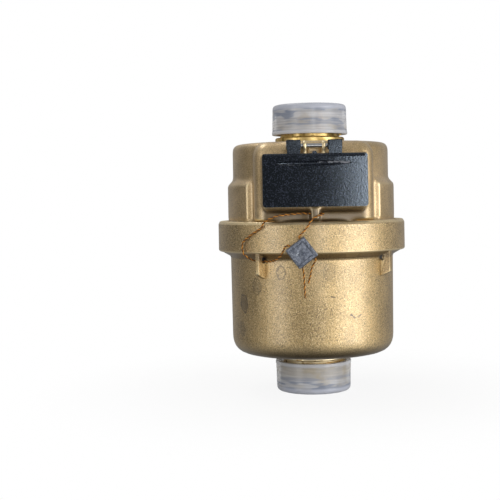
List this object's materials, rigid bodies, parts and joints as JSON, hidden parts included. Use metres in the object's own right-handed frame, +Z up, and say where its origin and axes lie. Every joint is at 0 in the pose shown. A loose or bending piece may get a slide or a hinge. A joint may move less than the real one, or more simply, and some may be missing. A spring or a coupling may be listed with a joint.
{
  "type": "in-line water meter",
  "caption": "In-line rotary piston water meter: brass cup and head joined by a lugged collar, hinged black register lid, wired lead seal and see-through thread caps.",
  "frame": {"origin": "centre of the outlet cap's flat end, which the meter stands on", "axes": "+Z up the pipe axis from outlet to inlet, -Y the way the register lid faces, +X to the right of someone facing the lid"},
  "size_m": [0.0764, 0.0797, 0.117],
  "materials": {
    "cast_brass": "sand cast, satin",
    "black_plastic": "fine moulded grain",
    "clear_plastic": "milky, see-through",
    "grey_plastic": "moulded",
    "white_plastic": "moulded",
    "window_glass": "clear",
    "steel": "drawn",
    "rubber": "moulded",
    "lead": "pressed lead, dull",
    "copper": "twisted soft wire",
    "magnet": "sintered"
  },
  "bodies": {
    "meter_body": {"cup_body": "cast_brass", "head_body": "cast_brass", "hinge_pin": "steel", "joint_gasket": "rubber", "chamber_seal": "rubber", "chamber_body": "white_plastic", "chamber_lid": "white_plastic", "division_plate": "grey_plastic", "chamber_roller": "steel", "hold_down_ring": "white_plastic", "inlet_strainer": "white_plastic", "register_case": "white_plastic", "drum_shaft": "steel", "carry_shaft": "steel", "idler_stud": "steel", "dial_plate": "white_plastic", "window_gasket": "rubber", "window_pane": "window_glass", "window_frame": "grey_plastic", "seal_wire": "copper", "lead_seal": "lead"},
    "lid": {"lid": "black_plastic"},
    "inlet_cap": {"inlet_cap": "clear_plastic"},
    "outlet_cap": {"outlet_cap": "clear_plastic"},
    "rotor": {"rotor": "white_plastic", "driver_magnet": "magnet"},
    "piston": {"piston": "grey_plastic"},
    "follower": {"follower_spindle": "white_plastic", "follower_magnet": "magnet"},
    "transfer_shaft": {"transfer_shaft": "white_plastic"},
    "idler_gear": {"idler_gear": "white_plastic"},
    "number_drum_1": {"number_drum_1": "white_plastic"},
    "number_drum_2": {"number_drum_2": "white_plastic"},
    "number_drum_3": {"number_drum_3": "white_plastic"},
    "number_drum_4": {"number_drum_4": "white_plastic"},
    "number_drum_5": {"number_drum_5": "white_plastic"},
    "number_drum_6": {"number_drum_6": "white_plastic"},
    "carry_pinion_1": {"carry_pinion_1": "white_plastic"},
    "carry_pinion_2": {"carry_pinion_2": "white_plastic"},
    "carry_pinion_3": {"carry_pinion_3": "white_plastic"},
    "carry_pinion_4": {"carry_pinion_4": "white_plastic"},
    "carry_pinion_5": {"carry_pinion_5": "white_plastic"}
  },
  "joints": [
    {"name": "lid_hinge", "type": "hinge", "parent": "meter_body", "child": "lid", "pos_m": [0, -0.035, 0.0988], "axis": [-1, 0, 0], "range_deg": [0, 120]},
    {"name": "inlet_cap_slide", "type": "slide", "parent": "meter_body", "child": "inlet_cap", "axis": [0, 0, 1], "range_m": [0, 0.014]},
    {"name": "outlet_cap_slide", "type": "slide", "parent": "meter_body", "child": "outlet_cap", "axis": [0, 0, -1], "range_m": [0, 0.014]},
    {"name": "rotor_spin", "type": "hinge", "parent": "meter_body", "child": "rotor", "pos_m": [0, 0, 0], "axis": [0, 0, 1], "continuous": true},
    {"name": "piston_turn", "type": "hinge", "parent": "rotor", "child": "piston", "pos_m": [-0.004, 0, 0], "axis": [0, 0, 1], "continuous": true},
    {"name": "follower_spin", "type": "hinge", "parent": "meter_body", "child": "follower", "pos_m": [0, 0, 0], "axis": [0, 0, 1], "continuous": true},
    {"name": "transfer_spin", "type": "hinge", "parent": "meter_body", "child": "transfer_shaft", "pos_m": [0, -0.00599, 0.083], "axis": [1, 0, 0], "continuous": true},
    {"name": "idler_spin", "type": "hinge", "parent": "meter_body", "child": "idler_gear", "pos_m": [0, -0.01574, 0.0852], "axis": [1, 0, 0], "continuous": true},
    {"name": "drum_1_turn", "type": "hinge", "parent": "meter_body", "child": "number_drum_1", "pos_m": [0.0105, -0.0255, 0.0874], "axis": [1, 0, 0], "continuous": true},
    {"name": "drum_2_turn", "type": "hinge", "parent": "meter_body", "child": "number_drum_2", "pos_m": [0.0063, -0.0255, 0.0874], "axis": [1, 0, 0], "continuous": true},
    {"name": "drum_3_turn", "type": "hinge", "parent": "meter_body", "child": "number_drum_3", "pos_m": [0.0021, -0.0255, 0.0874], "axis": [1, 0, 0], "continuous": true},
    {"name": "drum_4_turn", "type": "hinge", "parent": "meter_body", "child": "number_drum_4", "pos_m": [-0.0021, -0.0255, 0.0874], "axis": [1, 0, 0], "continuous": true},
    {"name": "drum_5_turn", "type": "hinge", "parent": "meter_body", "child": "number_drum_5", "pos_m": [-0.0063, -0.0255, 0.0874], "axis": [1, 0, 0], "continuous": true},
    {"name": "drum_6_turn", "type": "hinge", "parent": "meter_body", "child": "number_drum_6", "pos_m": [-0.0105, -0.0255, 0.0874], "axis": [1, 0, 0], "continuous": true},
    {"name": "carry_1_turn", "type": "hinge", "parent": "meter_body", "child": "carry_pinion_1", "pos_m": [0.0063, -0.0255, 0.0818], "axis": [1, 0, 0], "continuous": true},
    {"name": "carry_2_turn", "type": "hinge", "parent": "meter_body", "child": "carry_pinion_2", "pos_m": [0.0021, -0.0255, 0.0818], "axis": [1, 0, 0], "continuous": true},
    {"name": "carry_3_turn", "type": "hinge", "parent": "meter_body", "child": "carry_pinion_3", "pos_m": [-0.0021, -0.0255, 0.0818], "axis": [1, 0, 0], "continuous": true},
    {"name": "carry_4_turn", "type": "hinge", "parent": "meter_body", "child": "carry_pinion_4", "pos_m": [-0.0063, -0.0255, 0.0818], "axis": [1, 0, 0], "continuous": true},
    {"name": "carry_5_turn", "type": "hinge", "parent": "meter_body", "child": "carry_pinion_5", "pos_m": [-0.0105, -0.0255, 0.0818], "axis": [1, 0, 0], "continuous": true}
  ],
  "couplings": [
    {"joint": "piston_turn", "follows": "rotor_spin", "ratio": -1},
    {"joint": "follower_spin", "follows": "rotor_spin", "ratio": 1},
    {"joint": "transfer_spin", "follows": "rotor_spin", "ratio": -0.05},
    {"joint": "idler_spin", "follows": "rotor_spin", "ratio": 0.033333},
    {"joint": "drum_1_turn", "follows": "rotor_spin", "ratio": -0.05},
    {"joint": "drum_2_turn", "follows": "rotor_spin", "ratio": -0.005},
    {"joint": "drum_3_turn", "follows": "rotor_spin", "ratio": -0.0005},
    {"joint": "drum_4_turn", "follows": "rotor_spin", "ratio": -0.00005},
    {"joint": "drum_5_turn", "follows": "rotor_spin", "ratio": -0.000005},
    {"joint": "drum_6_turn", "follows": "rotor_spin", "ratio": -0.0000005},
    {"joint": "carry_1_turn", "follows": "rotor_spin", "ratio": 0.0125},
    {"joint": "carry_2_turn", "follows": "rotor_spin", "ratio": 0.00125},
    {"joint": "carry_3_turn", "follows": "rotor_spin", "ratio": 0.000125},
    {"joint": "carry_4_turn", "follows": "rotor_spin", "ratio": 0.0000125},
    {"joint": "carry_5_turn", "follows": "rotor_spin", "ratio": 0.00000125}
  ]
}
